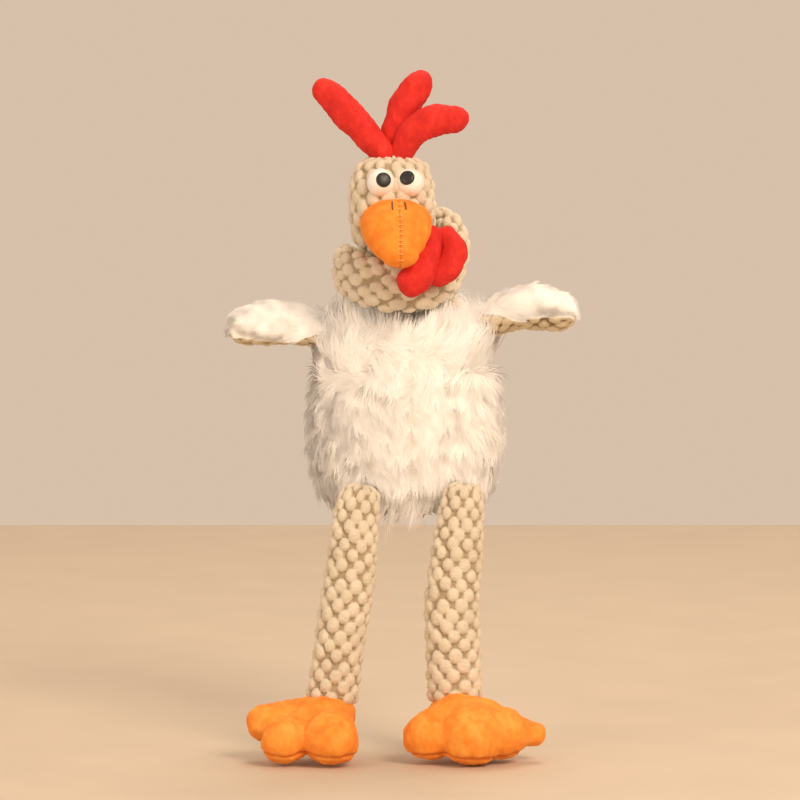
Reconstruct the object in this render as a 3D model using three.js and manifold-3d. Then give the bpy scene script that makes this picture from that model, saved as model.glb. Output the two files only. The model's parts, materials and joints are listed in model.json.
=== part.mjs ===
// A stuffed toy chicken with a knotted neck, sitting with its legs hanging down.
// Units are millimetres, +Z is up, +X is the viewer's right and the chicken faces -Y.
// The origin is the middle of the flat seat under the body.
import * as THREE from "three";
import { mergeVertices } from "three/addons/utils/BufferGeometryUtils.js";
import Module from "manifold-3d";

const wasm = await Module();
wasm.setup();

// ---------------------------------------------------------------- driving sizes
const GAP = 0.3; // clearance between pieces that touch
const SEAM = 0.3; // width of the cut between two sewn panels
const FUR_WALL = 3; // fur fabric: backing and the root of its pile
const KNIT_WALL = 1.4; // bobble fabric
const VELVET_WALL = 1.2; // short-pile plush
const CAP_RINGS = 2; // rings of points in a rounded end
const HOLE_SHARE = 0.4; // hole that a piece is turned through, over its root's half-width

// body
const BODY_HALF_WIDTH = 50.5;
const BODY_DEPTH_RATIO = 0.76; // depth of the body over its width
const BODY_SHOULDER_Z = 92;
const BODY_DOME = 6; // rise of the top above the shoulders
const SEAT_PANEL_Z = 7; // the back panel wraps under the body up to this height
const SQUEAKER_R = 14;
const SQUEAKER_Z = 50;
const REED_R = 4.5;
const REED_LENGTH = 7;
const REED_BORE_R = 1.5;

// neck, tied in an overhand knot
const NECK_ROOT = { x: -2, y: 7 }; // where it stands on the body
const NECK_ROOT_R = 8;
const NECK_SLACK = 0.5; // how much further the neck's stuffing keeps off its sleeve

// head
const HEAD_ROOT_R = 10;
const HEAD_HALF_WIDTH = 22.5;
const HEAD_HALF_DEPTH = 18.5;
const HEAD_HEIGHT = 41; // from the nod pivot to the edge of the crown
const HEAD_CROWN = 7;
const EYE_R = 7.3;
const EYE_SEGMENTS = 14;
const EYE_SPACING = 15;
const EYE_HEIGHT = 34.5; // above the nod pivot
const EYE_SINK = 1.5; // how far behind the head's front the eye's middle lies
const PUPIL_R = 3.9;
const PUPIL_DEPTH = 0.8;
const EYE_POST_R = 1.8;
const EYE_POST_LENGTH = 10;
const WASHER_R = 4.6;
const WASHER_THICKNESS = 1.2;
const WASHER_SETBACK = 5; // behind the head's front
const BEAK_HALF_WIDTH = 18.5;
const BEAK_HALF_HEIGHT = 12;
const BEAK_ROOT_HEIGHT = 15; // above the nod pivot
const BEAK_REACH = 49; // from the nod pivot's plane to the last station
const BEAK_DROOP = 17.5;
const BEAK_TIP = 5;

// comb and wattle
const COMB_ROOT_R = 3;
const COMB_R = 8.3;
const COMB_TIP = 7;
const COMB_LEFT_LENGTH = 40;
const COMB_MIDDLE_LENGTH = 36;
const COMB_RIGHT_LENGTH = 32;
const WATTLE_ROOT_R = 5;
const WATTLE_R = 7.4;
const WATTLE_TIP = 6;
const WATTLE_FRONT_LENGTH = 20;
const WATTLE_REAR_LENGTH = 22;

// wings
const WING_LENGTH = 36; // from the flap pivot to where the tip starts to round
const WING_HALF_CHORD = 19;
const WING_HALF_THICKNESS = 11.5;
const WING_ROOT_R = 8.5;
const WING_ROOT_HALF_CHORD = 13;
const WING_TIP = 10;
const WING_SEAM_DROP = 2; // of the seam below the wing's middle

// legs and feet
const LEG_R = 13.2;
const HIP_R = 11;
const THIGH_LENGTH = 50; // hip pivot to knee pivot
const SHIN_LENGTH = 56; // knee pivot to ankle pivot
const HEEL_R = 10.5;

// ---------------------------------------------------------------- materials
const PALETTE = {
  fur: { color: 0xf4ece4, roughness: 0.95 },
  knit: { color: 0xd9c8ab, roughness: 0.92 },
  orange: { color: 0xf7862a, roughness: 0.85 },
  red: { color: 0xd3201a, roughness: 0.85 },
  fibre: { color: 0xf7f5ef, roughness: 1 },
  white_plastic: { color: 0xf3efe8, roughness: 0.25 },
  black_plastic: { color: 0x15151a, roughness: 0.3 },
  clear_plastic: { color: 0xd8dcdc, roughness: 0.4 },
};

// ---------------------------------------------------------------- solids
function vec(p) {
  return new THREE.Vector3(...p);
}

// A closed three.js geometry as a manifold solid with its faces pointing out.
function solid(geometry) {
  const bare = geometry.index ? geometry.toNonIndexed() : geometry.clone();
  bare.deleteAttribute("normal");
  bare.deleteAttribute("uv");
  const merged = mergeVertices(bare, 1e-4);
  const index = merged.index.array;
  const corners = [];
  for (let i = 0; i < index.length; i += 3) {
    const [a, b, c] = [index[i], index[i + 1], index[i + 2]];
    if (a !== b && b !== c && c !== a) corners.push(a, b, c);
  }
  const wrap = (order) =>
    new wasm.Manifold(
      new wasm.Mesh({
        numProp: 3,
        vertProperties: merged.attributes.position.array,
        triVerts: new Uint32Array(order),
      }),
    );
  const made = wrap(corners);
  return made.volume() > 0 ? made : wrap(corners.reverse());
}

// A named mesh of a manifold solid.
function piece(name, shape, look) {
  const { vertProperties, triVerts, numProp, numVert } = shape.getMesh();
  const points = new Float32Array(numVert * 3);
  for (let i = 0; i < numVert; i++)
    points.set(vertProperties.subarray(i * numProp, i * numProp + 3), i * 3);
  const geometry = new THREE.BufferGeometry();
  geometry.setAttribute("position", new THREE.BufferAttribute(points, 3));
  geometry.setIndex(new THREE.BufferAttribute(triVerts, 1));
  geometry.computeVertexNormals();
  const material = new THREE.MeshStandardMaterial({ ...PALETTE[look], metalness: 0 });
  const mesh = new THREE.Mesh(geometry, material);
  mesh.name = name;
  return mesh;
}

function union(shapes) {
  return shapes.reduce((sum, shape) => sum.add(shape));
}

function ball(radius, at, segments = 12) {
  const sphere = new THREE.SphereGeometry(radius, segments, Math.round(segments * 0.6));
  return solid(sphere.translate(...at));
}

// A round post that runs from a point along a direction, which is +Y if it isn't given.
function post(radius, length, from, toward = [0, 1, 0]) {
  const cylinder = new THREE.CylinderGeometry(radius, radius, length, 10);
  const up = new THREE.Vector3(0, 1, 0);
  const turn = new THREE.Quaternion().setFromUnitVectors(up, vec(toward).normalize());
  return solid(cylinder.translate(0, length / 2, 0).applyQuaternion(turn).translate(...from));
}

function block(low, high) {
  const size = vec(high).sub(vec(low));
  const middle = vec(high).add(vec(low)).multiplyScalar(0.5);
  return solid(new THREE.BoxGeometry(...size.toArray()).translate(...middle.toArray()));
}

// The two halves of a shape on either side of a seam plane, the one the normal points to first.
function seamSplit(shape, point, normal) {
  const n = vec(normal).normalize();
  const offset = n.dot(vec(point));
  const ahead = shape.trimByPlane(n.toArray(), offset + SEAM / 2);
  const behind = shape.trimByPlane(n.negate().toArray(), SEAM / 2 - offset);
  return [ahead, behind];
}

// The middle of a ball of some radius that just clears a surface, where a ray meets it.
function seatOn(surface, from, toward, radius) {
  const ray = new THREE.Raycaster(vec(from), vec(toward).normalize());
  const hit = ray.intersectObject(surface)[0];
  return hit.point.addScaledVector(hit.face.normal, radius + GAP).toArray();
}

// ---------------------------------------------------------------- soft tubes
// Every stuffed piece is a tube through stations. A station is { at, half, across }: its
// middle, its half-widths along "across" and square to it, and that direction, which is
// +X if it isn't given. inset shrinks the section all round. start and end are the lengths
// of rounded ends. An end without one is flat, and runs on by reach.
function tube(stations, { inset = 0, start = 0, end = 0, reach = 0, sides = 12, steps = 1 }) {
  const line = new THREE.CatmullRomCurve3(stations.map((s) => vec(s.at)));
  const halves = stations.map((s) => vec([...s.half, 0]));
  const across = stations.map((s) => vec(s.across ?? [1, 0, 0]));
  const spans = stations.length - 1;
  const inner = [];
  for (let i = 1; i < spans * steps; i++)
    inner.push({ t: i / (spans * steps), along: 0, scale: 1 });
  const rows = [
    ...endRows(0, start && start - inset, reach).reverse(),
    ...inner,
    ...endRows(1, end && end - inset, reach),
  ];
  const profile = rows.map((row, i) => new THREE.Vector2(row.scale, i));
  const geometry = new THREE.LatheGeometry(profile, sides);
  const position = geometry.attributes.position;
  for (let i = 0; i < position.count; i++) {
    const { t, along } = rows[Math.round(position.getY(i))];
    const tangent = line.getTangent(t);
    const half = between(halves, t);
    const wide = between(across, t);
    wide.addScaledVector(tangent, -wide.dot(tangent)).normalize();
    const thin = new THREE.Vector3().crossVectors(tangent, wide);
    const point = line
      .getPoint(t)
      .addScaledVector(tangent, along)
      .addScaledVector(wide, position.getX(i) * (half.x - inset))
      .addScaledVector(thin, position.getZ(i) * (half.y - inset));
    position.setXYZ(i, point.x, point.y, point.z);
  }
  return solid(geometry);
}

// The rows of points of one end, from the tube outwards.
function endRows(t, cap, reach) {
  const outward = t === 0 ? -1 : 1;
  if (!cap) return [1, 0].map((scale) => ({ t, along: outward * reach, scale }));
  const rows = [];
  for (let k = 0; k <= CAP_RINGS; k++) {
    const angle = ((k / CAP_RINGS) * Math.PI) / 2;
    const scale = k === CAP_RINGS ? 0 : Math.cos(angle);
    rows.push({ t, along: outward * cap * Math.sin(angle), scale });
  }
  return rows;
}

// The value at t, from 0 to 1, on a smooth line through evenly spaced values.
function between(values, t) {
  const at = t * (values.length - 1);
  const i = Math.min(Math.floor(at), values.length - 2);
  const share = at - i;
  const eased = share * share * (3 - 2 * share);
  return values[i].clone().lerp(values[i + 1], (share + eased) / 2);
}

// The hole in a rounded start that the piece was turned and filled through.
function turningHole(stations, start) {
  const first = vec(stations[0].at);
  const back = first.clone().sub(vec(stations[1].at)).normalize();
  const radius = HOLE_SHARE * Math.min(...stations[0].half);
  const hole = { half: [radius, radius], across: stations[0].across };
  const outside = first.clone().addScaledVector(back, 2 * start);
  const ends = [outside, first].map((p) => ({ ...hole, at: p.toArray() }));
  return tube(ends, { sides: 6 });
}

// A sewn skin over a tube, and the stuffing that fills it. An end with no cap is open.
// slack keeps the stuffing further off the skin, for a line with tight bends.
function stuffed(stations, wall, options) {
  const outer = tube(stations, options);
  const hollow = tube(stations, { ...options, inset: wall, reach: wall });
  const skin = outer.subtract(hollow).subtract(turningHole(stations, options.start));
  const filling = tube(stations, { ...options, inset: wall + GAP + (options.slack ?? 0) });
  return { outer, skin, filling };
}

// ---------------------------------------------------------------- body
const BODY_STATIONS = [
  [0, 0.66],
  [0.065, 0.82],
  [0.185, 0.93],
  [0.36, 0.99],
  [0.54, 1],
  [0.72, 0.955],
  [0.87, 0.85],
  [1, 0.69],
].map(([rise, share]) => {
  const halfWidth = share * BODY_HALF_WIDTH;
  return { at: [0, 0, rise * BODY_SHOULDER_Z], half: [halfWidth, halfWidth * BODY_DEPTH_RATIO] };
});
const BODY_OPTIONS = { end: BODY_DOME, sides: 24 };

function buildBody() {
  const group = new THREE.Group();
  const outer = tube(BODY_STATIONS, BODY_OPTIONS);
  const lining = (inset) => tube(BODY_STATIONS, { ...BODY_OPTIONS, inset, reach: -inset });
  const skin = outer.subtract(lining(FUR_WALL));
  const far = 2 * BODY_HALF_WIDTH;
  const front = skin.intersect(block([-far, -far, SEAT_PANEL_Z + SEAM], [far, -SEAM, far]));
  const back = skin.subtract(block([-far, -far, SEAT_PANEL_Z], [far, 0, far]));
  const [frontRight, frontLeft] = seamSplit(front, [0, 0, 0], [1, 0, 0]);

  const squeaker = [0, 0, SQUEAKER_Z];
  const reedFrom = [0, SQUEAKER_R - REED_LENGTH / 4, SQUEAKER_Z];
  const pocket = ball(SQUEAKER_R + GAP, squeaker);
  const reedPocket = post(REED_R + GAP, REED_LENGTH + GAP, reedFrom);
  const reedBore = post(REED_BORE_R, 2 * SQUEAKER_R, squeaker);
  const reed = post(REED_R, REED_LENGTH, reedFrom).subtract(pocket);
  const [fillBack, fillFront] = seamSplit(lining(FUR_WALL + GAP), [0, 0, 0], [0, 1, 0]);
  group.add(
    piece("body_front_left_panel", frontLeft, "fur"),
    piece("body_front_right_panel", frontRight, "fur"),
    piece("body_back_panel", back, "fur"),
    piece("body_front_stuffing", fillFront.subtract(pocket), "fibre"),
    piece("body_back_stuffing", fillBack.subtract(pocket).subtract(reedPocket), "fibre"),
    piece("squeaker_bulb", ball(SQUEAKER_R, squeaker), "clear_plastic"),
    piece("squeaker_reed", reed.subtract(reedBore), "white_plastic"),
  );
  return { group, surface: piece("body_surface", outer, "fur") };
}

// ---------------------------------------------------------------- neck
// The tube's route from its root: up through the ring, over to the right, once round
// itself, and up through the ring again to the head.
const NECK_ROUTE = [
  { at: [0, 0, 0], half: [NECK_ROOT_R, 6.5], across: [1, 0, 0] },
  { at: [0, 1.5, 17.7], half: [10, 6], across: [1, 0, 0] },
  { at: [3, 3, 33.7], half: [7.5, 6.5], across: [1, 0, 0] },
  { at: [14, 2, 43.2], half: [7, 7.5], across: [0.1, 0.3, -0.95] },
  { at: [HEAD_HALF_WIDTH + 3, -6, 40.2], half: [9, 7], across: [0.3, 0, -0.95] },
  { at: [HEAD_HALF_WIDTH + 6, -20, 25.7], half: [11, 6], across: [0, 0.3, -0.95] },
  { at: [HEAD_HALF_WIDTH - 3.5, -35, 15.2], half: [12, 6], across: [0, 0, -1] },
  { at: [-1, -42, 11.7], half: [12.5, 6], across: [0, 0, -1] },
  { at: [2.5 - HEAD_HALF_WIDTH, -35, 15.2], half: [12.5, 6], across: [0, 0, -1] },
  { at: [-7 - HEAD_HALF_WIDTH, -15, 19.7], half: [12.5, 6], across: [0, 0, -1] },
  { at: [0.5 - HEAD_HALF_WIDTH, 6, 16.7], half: [12, 6], across: [0, 0, -1] },
  { at: [-2, 15, 11.7], half: [11, 6], across: [0, 0, -1] },
  { at: [17, 11, 7.2], half: [8, 6], across: [0.3, -0.2, -0.9] },
  { at: [25.5, -3, 2.7], half: [6.5, 5], across: [1, 0.2, -0.5] },
  { at: [17, -18, 1.2], half: [7, 4.5], across: [0.7, -0.7, 0] },
  { at: [5, -21.5, 3.8], half: [8, 5.5], across: [0, -1, 0] },
  { at: [-2.5, -21, 12.2], half: [8, 8.5], across: [0, -1, 0] },
  { at: [-3, -21, 20.7], half: [9, 11], across: [0, -1, 0] },
];

function buildNeck(body) {
  const group = new THREE.Group();
  const above = [NECK_ROOT.x, NECK_ROOT.y, 2 * BODY_SHOULDER_Z];
  group.position.set(...seatOn(body.surface, above, [0, 0, -1], NECK_ROOT_R));
  const { skin, filling } = stuffed(NECK_ROUTE, KNIT_WALL, {
    start: NECK_ROOT_R,
    sides: 10,
    steps: 2,
    slack: NECK_SLACK,
  });
  group.add(piece("neck_sleeve", skin, "knit"), piece("neck_stuffing", filling, "fibre"));
  const top = NECK_ROUTE[NECK_ROUTE.length - 1].at;
  return { group, headPivot: [top[0], top[1], top[2] + GAP + HEAD_ROOT_R] };
}

// ---------------------------------------------------------------- head
const HEAD_STATIONS = [
  [0, 0, 0, 0.84, HEAD_ROOT_R / HEAD_HALF_DEPTH],
  [-1, -2, 0.24, 0.96, 0.84],
  [-1.6, -3, 0.5, 1, 1],
  [-1.8, -2.5, 0.8, 0.96, 1],
  [-1.8, -2, 1, 0.84, 0.84],
].map(([x, y, rise, width, depth]) => ({
  at: [x, y, rise * HEAD_HEIGHT],
  half: [width * HEAD_HALF_WIDTH, depth * HEAD_HALF_DEPTH],
}));
const HEAD_OPTIONS = { start: HEAD_ROOT_R, end: HEAD_CROWN, sides: 16 };

// Each eye is a ball on a post, with a pupil set in its front and a lock washer inside.
// look is how far the gaze turns to +X and up, over its way to the front.
const EYES = [
  { name: "left", x: 0.2 - EYE_SPACING / 2, look: [0.22, 0.28] },
  { name: "right", x: 0.2 + EYE_SPACING / 2, look: [-0.28, 0.47] },
];

function buildEye({ name, x, look }, surface, headSpace) {
  const front = seatOn(surface, [x, -100, EYE_HEIGHT], [0, 1, 0], -GAP)[1];
  const middle = [x, front + EYE_SINK, EYE_HEIGHT];
  const along = (y) => [x, y, EYE_HEIGHT];
  const gaze = [look[0], -1, look[1]];
  const pupil = post(PUPIL_R, 2 * EYE_R, middle, gaze)
    .intersect(ball(EYE_R, middle, EYE_SEGMENTS))
    .subtract(ball(EYE_R - PUPIL_DEPTH, middle, EYE_SEGMENTS));
  const socket = post(PUPIL_R + GAP, 2 * EYE_R, middle, gaze).subtract(
    ball(EYE_R - PUPIL_DEPTH - GAP, middle, EYE_SEGMENTS),
  );
  const stem = post(EYE_POST_R, EYE_POST_LENGTH, along(front - EYE_R / 4));
  const eye = ball(EYE_R, middle, EYE_SEGMENTS).subtract(headSpace).subtract(socket).add(stem);
  const washerFrom = front + WASHER_SETBACK;
  const washer = post(WASHER_R, WASHER_THICKNESS, along(washerFrom)).subtract(
    post(EYE_POST_R + GAP / 2, 2 * WASHER_THICKNESS, along(washerFrom - WASHER_THICKNESS / 2)),
  );
  return {
    pieces: [
      piece("eye_" + name, eye, "white_plastic"),
      piece("pupil_" + name, pupil, "black_plastic"),
      piece("eye_washer_" + name, washer, "white_plastic"),
    ],
    hole: post(EYE_POST_R + GAP, EYE_POST_LENGTH + GAP, along(front - EYE_R / 4)),
    washerSpace: post(WASHER_R + GAP, WASHER_THICKNESS + 2 * GAP, along(washerFrom - GAP)),
  };
}

function beakStations() {
  const station = (x, reach, droop, width, height) => ({
    at: [x, -reach * BEAK_REACH, BEAK_ROOT_HEIGHT - droop * BEAK_DROOP],
    half: [width * BEAK_HALF_WIDTH, height * BEAK_HALF_HEIGHT],
  });
  return [
    station(0.3, 0.25, 0, 0.9, 0.92),
    station(0.3, 0.49, 0.05, 1, 1),
    station(0.6, 0.7, 0.3, 0.95, 1),
    station(2.2, 0.9, 0.7, 0.67, 0.79),
    station(4.2, 1, 1, 0.38, 0.54),
  ];
}

function buildBeak(headSpace) {
  const stations = beakStations();
  const options = { end: BEAK_TIP, sides: 14 };
  const outer = tube(stations, options);
  const skin = outer
    .subtract(tube(stations, { ...options, inset: VELVET_WALL, reach: VELVET_WALL }))
    .subtract(headSpace);
  const filling = tube(stations, { ...options, inset: VELVET_WALL + GAP }).subtract(headSpace);
  const [right, left] = seamSplit(skin, stations[2].at, [1, 0.08, 0]);
  return {
    surface: piece("beak_surface", outer, "orange"),
    pieces: [
      piece("beak_left_panel", left, "orange"),
      piece("beak_right_panel", right, "orange"),
      piece("beak_stuffing", filling, "fibre"),
    ],
  };
}

function buildHead(neck) {
  const group = new THREE.Group();
  group.position.set(...neck.headPivot);
  const { outer, skin, filling } = stuffed(HEAD_STATIONS, KNIT_WALL, HEAD_OPTIONS);
  const surface = piece("head_surface", outer, "knit");
  const headSpace = tube(HEAD_STATIONS, { ...HEAD_OPTIONS, inset: -GAP });
  const eyes = EYES.map((eye) => buildEye(eye, surface, headSpace));
  const holes = union(eyes.map((eye) => eye.hole));
  const sockets = union(eyes.map((eye) => eye.hole.add(eye.washerSpace)));
  const beak = buildBeak(headSpace);
  group.add(
    piece("head_sleeve", skin.subtract(holes), "knit"),
    piece("head_stuffing", filling.subtract(sockets), "fibre"),
    ...eyes.flatMap((eye) => eye.pieces),
    ...beak.pieces,
  );
  return { group, surface, beak };
}

// ---------------------------------------------------------------- comb and wattle
// A lobe is a thin root that swells to a round end. Its line is given as shares of its
// length, from the root.
function buildLobe(name, pivot, line, length, sizes) {
  const group = new THREE.Group();
  group.position.set(...pivot);
  const stations = line.map(([x, y, z], i) => ({
    at: [x * length, y * length, z * length],
    half: [sizes.radii[i], sizes.radii[i]],
    across: [0.2, 1, 0],
  }));
  const options = { start: sizes.root, end: sizes.tip, sides: 8 };
  const { skin, filling } = stuffed(stations, VELVET_WALL, options);
  group.add(piece(name + "_skin", skin, "red"), piece(name + "_stuffing", filling, "fibre"));
  return group;
}

function buildComb(head) {
  const sizes = {
    root: COMB_ROOT_R,
    tip: COMB_TIP,
    radii: [COMB_ROOT_R, 0.72 * COMB_R, COMB_R, 0.92 * COMB_R],
  };
  const crown = (x, y) => seatOn(head.surface, [x, y, 2 * HEAD_HEIGHT], [0, 0, -1], COMB_ROOT_R);
  const left = [
    [0, 0, 0],
    [-0.2, 0, 0.26],
    [-0.45, 0, 0.53],
    [-0.68, 0, 0.77],
  ];
  const middle = [
    [0, 0, 0],
    [0.06, 0.02, 0.33],
    [0.2, 0.03, 0.68],
    [0.38, 0.03, 0.96],
  ];
  const right = [
    [0, 0, 0],
    [0.17, -0.03, 0.34],
    [0.5, -0.05, 0.5],
    [0.8, -0.05, 0.52],
  ];
  head.group.add(
    buildLobe("comb_left", crown(-8, -5), left, COMB_LEFT_LENGTH, sizes),
    buildLobe("comb_middle", crown(-1.5, 2), middle, COMB_MIDDLE_LENGTH, sizes),
    buildLobe("comb_right", crown(4.5, -5), right, COMB_RIGHT_LENGTH, sizes),
  );
}

function buildWattle(head) {
  const sizes = {
    root: WATTLE_ROOT_R,
    tip: WATTLE_TIP,
    radii: [WATTLE_ROOT_R, WATTLE_R, 0.95 * WATTLE_R],
  };
  const beak = head.beak.surface;
  const under = seatOn(beak, [10.5, -31, -100], [0, 0, 1], WATTLE_ROOT_R);
  const beside = seatOn(beak, [100, -25, 10], [-1, 0, 0], WATTLE_ROOT_R);
  const front = [
    [0, 0, 0],
    [-0.15, -0.2, -0.5],
    [-0.45, -0.3, -0.9],
  ];
  const rear = [
    [0, 0, 0],
    [0.3, -0.05, -0.5],
    [0.2, -0.25, -0.95],
  ];
  head.group.add(
    buildLobe("wattle_front", under, front, WATTLE_FRONT_LENGTH, sizes),
    buildLobe("wattle_rear", beside, rear, WATTLE_REAR_LENGTH, sizes),
  );
}

// ---------------------------------------------------------------- wings
const WINGS = [
  { name: "wing_left", side: -1, seatBelow: 5, pitch: 0.1, lift: 4, wrap: 0.5 },
  { name: "wing_right", side: 1, seatBelow: 0.5, pitch: 0.35, lift: 8, wrap: 0.25 },
];

// side is -1 on the left and 1 on the right, seatBelow is how far under the shoulder it is
// sewn on, pitch turns the front edge of the wing up, lift
// raises its middle above the shoulder, and wrap tilts the seam so that the fur panel comes
// round the front edge.
function buildWing({ name, side, seatBelow, pitch, lift, wrap }, body) {
  const group = new THREE.Group();
  const beside = [side * 200, 0, BODY_SHOULDER_Z - seatBelow];
  group.position.set(...seatOn(body.surface, beside, [-side, 0, 0], WING_ROOT_R));
  const chordAt = (share) => [0, Math.cos(share * pitch), -Math.sin(share * pitch)];
  const stations = [
    [0, 0, 0, WING_ROOT_HALF_CHORD, WING_ROOT_R],
    [0.36, 0.7, 0.5, 0.9 * WING_HALF_CHORD, 0.86 * WING_HALF_THICKNESS],
    [0.72, 1, 0.8, WING_HALF_CHORD, WING_HALF_THICKNESS],
    [1, 0.8, 1, 0.84 * WING_HALF_CHORD, 0.92 * WING_HALF_THICKNESS],
  ].map(([along, rise, turn, chord, thickness]) => ({
    at: [side * along * WING_LENGTH, -turn, rise * lift],
    half: [chord, thickness],
    across: chordAt(turn),
  }));
  const options = { start: WING_ROOT_R, end: WING_TIP, sides: 12 };
  const { skin, filling } = stuffed(stations, VELVET_WALL, options);
  const [x, y, z] = stations[2].at;
  const seamAt = [x, y, z - WING_SEAM_DROP];
  const [fur, under] = seamSplit(skin, seamAt, [0, -Math.sin(wrap), Math.cos(wrap)]);
  group.add(
    piece(name + "_fur_panel", fur, "fur"),
    piece(name + "_under_panel", under, "knit"),
    piece(name + "_stuffing", filling, "fibre"),
  );
  return group;
}

// ---------------------------------------------------------------- legs
// One length of a leg from a joint to the next one, whose ball it just clears.
function buildLegPart(name, direction, length, rootR, nextR) {
  const group = new THREE.Group();
  const along = vec(direction).normalize();
  const tubeLength = length - nextR - GAP;
  const stations = [0, 0.5, 1].map((share) => ({
    at: along.clone().multiplyScalar(share * tubeLength).toArray(),
    half: share ? [LEG_R, LEG_R] : [rootR, rootR],
  }));
  const { skin, filling } = stuffed(stations, KNIT_WALL, { start: rootR });
  group.add(piece(name + "_sleeve", skin, "knit"), piece(name + "_stuffing", filling, "fibre"));
  return { group, next: along.multiplyScalar(length).toArray() };
}

// A foot is a heel ball with three toes, sewn from an upper and a sole.
function buildFoot(name, toes) {
  const group = new THREE.Group();
  const toe = ({ tip, radius }, inset) => {
    const stations = [
      { at: tip.map((c) => 0.12 * c), half: [0.78 * HEEL_R, 0.78 * HEEL_R] },
      { at: tip.map((c) => 0.6 * c), half: [radius, 0.95 * radius] },
      { at: tip, half: [0.85 * radius, 0.75 * radius] },
    ].map((s) => ({ ...s, across: [-tip[1], tip[0], 0] }));
    return tube(stations, { inset, end: 0.75 * radius, sides: 8 });
  };
  const cover = (inset) =>
    union([ball(HEEL_R - inset, [0, 0, 0], 10), ...toes.map((t) => toe(t, inset))]);
  const skin = cover(0).subtract(cover(VELVET_WALL));
  const slope = toes[1].tip[2] / toes[1].tip[1];
  const [upper, sole] = seamSplit(skin, [0, 0, -HEEL_R / 4], [0, -slope, 1]);
  group.add(
    piece(name + "_upper_panel", upper, "orange"),
    piece(name + "_sole_panel", sole, "orange"),
    piece(name + "_stuffing", cover(VELVET_WALL + GAP), "fibre"),
  );
  return group;
}

const LEGS = [
  {
    name: "left",
    seat: { x: -20, z: 8 },
    thigh: [-7.8, -6, -49],
    shin: [-7.5, -4, -61],
    toes: [
      { tip: [-31, -12, -6], radius: 10 },
      { tip: [-22, -28, -14], radius: 11.5 },
      { tip: [0, -30, -13], radius: 14 },
    ],
  },
  {
    name: "right",
    seat: { x: 24, z: 9 },
    thigh: [-5, -6, -49],
    shin: [1.5, -4, -61],
    toes: [
      { tip: [-13, -25, -14], radius: 11.5 },
      { tip: [9, -29, -11], radius: 15.5 },
      { tip: [36, -15, -11], radius: 9.5 },
    ],
  },
];

function buildLeg({ name, seat, thigh, shin, toes }, body) {
  const upper = buildLegPart("thigh_" + name, thigh, THIGH_LENGTH, HIP_R, LEG_R);
  const lower = buildLegPart("shin_" + name, shin, SHIN_LENGTH, LEG_R, HEEL_R);
  const foot = buildFoot("foot_" + name, toes);
  upper.group.position.set(...seatOn(body.surface, [seat.x, -200, seat.z], [0, 1, 0], HIP_R));
  lower.group.position.set(...upper.next);
  foot.position.set(...lower.next);
  lower.group.add(foot);
  upper.group.add(lower.group);
  return upper.group;
}

// ---------------------------------------------------------------- assembly
const chicken = new THREE.Group();
const body = buildBody();
const neck = buildNeck(body);
const head = buildHead(neck);
buildComb(head);
buildWattle(head);
neck.group.add(head.group);
chicken.add(
  body.group,
  neck.group,
  ...WINGS.map((wing) => buildWing(wing, body)),
  ...LEGS.map((leg) => buildLeg(leg, body)),
);

export default chicken;
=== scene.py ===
import json
import math

import bpy
import numpy as np
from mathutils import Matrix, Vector
from mathutils.kdtree import KDTree


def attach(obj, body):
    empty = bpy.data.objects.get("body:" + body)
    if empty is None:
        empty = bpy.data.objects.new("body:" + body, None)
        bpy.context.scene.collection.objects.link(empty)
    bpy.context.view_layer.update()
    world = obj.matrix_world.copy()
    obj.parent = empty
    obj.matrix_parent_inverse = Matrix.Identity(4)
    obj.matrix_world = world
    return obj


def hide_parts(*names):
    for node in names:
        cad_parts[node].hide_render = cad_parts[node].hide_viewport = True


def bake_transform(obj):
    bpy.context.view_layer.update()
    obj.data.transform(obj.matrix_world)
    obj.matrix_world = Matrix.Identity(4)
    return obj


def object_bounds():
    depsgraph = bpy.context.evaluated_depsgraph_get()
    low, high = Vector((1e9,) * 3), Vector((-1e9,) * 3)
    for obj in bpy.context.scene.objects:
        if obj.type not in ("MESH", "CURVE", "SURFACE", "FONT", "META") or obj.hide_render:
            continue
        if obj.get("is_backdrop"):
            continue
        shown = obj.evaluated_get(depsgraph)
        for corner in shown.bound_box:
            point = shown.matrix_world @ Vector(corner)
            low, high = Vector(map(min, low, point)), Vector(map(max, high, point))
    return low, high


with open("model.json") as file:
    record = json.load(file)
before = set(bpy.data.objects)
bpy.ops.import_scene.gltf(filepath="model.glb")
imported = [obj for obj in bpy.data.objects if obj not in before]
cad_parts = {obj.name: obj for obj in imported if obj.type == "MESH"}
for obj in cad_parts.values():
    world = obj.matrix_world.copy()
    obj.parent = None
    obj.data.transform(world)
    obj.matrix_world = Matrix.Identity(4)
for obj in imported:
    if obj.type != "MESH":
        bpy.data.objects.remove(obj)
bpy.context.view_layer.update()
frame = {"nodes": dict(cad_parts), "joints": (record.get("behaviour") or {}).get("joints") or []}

MM = 0.001
PIVOT = {j["child"]: np.array(j["pos_m"]) / MM for j in frame["joints"]}
UP = np.array([0.0, 0.0, 1.0])


# ---- numbers
def unit(v):
    return v / np.maximum(np.linalg.norm(v, axis=-1, keepdims=True), 1e-9)


def norm(v):
    return np.linalg.norm(v, axis=-1)


def turns(count):
    """Angles evenly round a full turn."""
    return np.linspace(0, 2 * math.pi, count, endpoint=False)


def smooth(low, high, x):
    """0 below low, 1 above high, and a smooth step between."""
    t = np.clip((x - low) / (high - low), 0, 1)
    return t * t * (3 - 2 * t)


def wobble(points, wavelength, seed, waves=9):
    """Smooth noise of about -1 to 1 at points, a sum of waves in random directions."""
    rng = np.random.default_rng(seed)
    total = np.zeros(points.shape[:-1])
    for _ in range(waves):
        direction = unit(rng.normal(size=3))
        length = wavelength * rng.uniform(0.7, 1.5)
        total += np.sin(points @ direction * (2 * math.pi / length) + rng.uniform(0, 6.28))
    return total * 1.3 / waves**0.5 / 1.4


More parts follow.
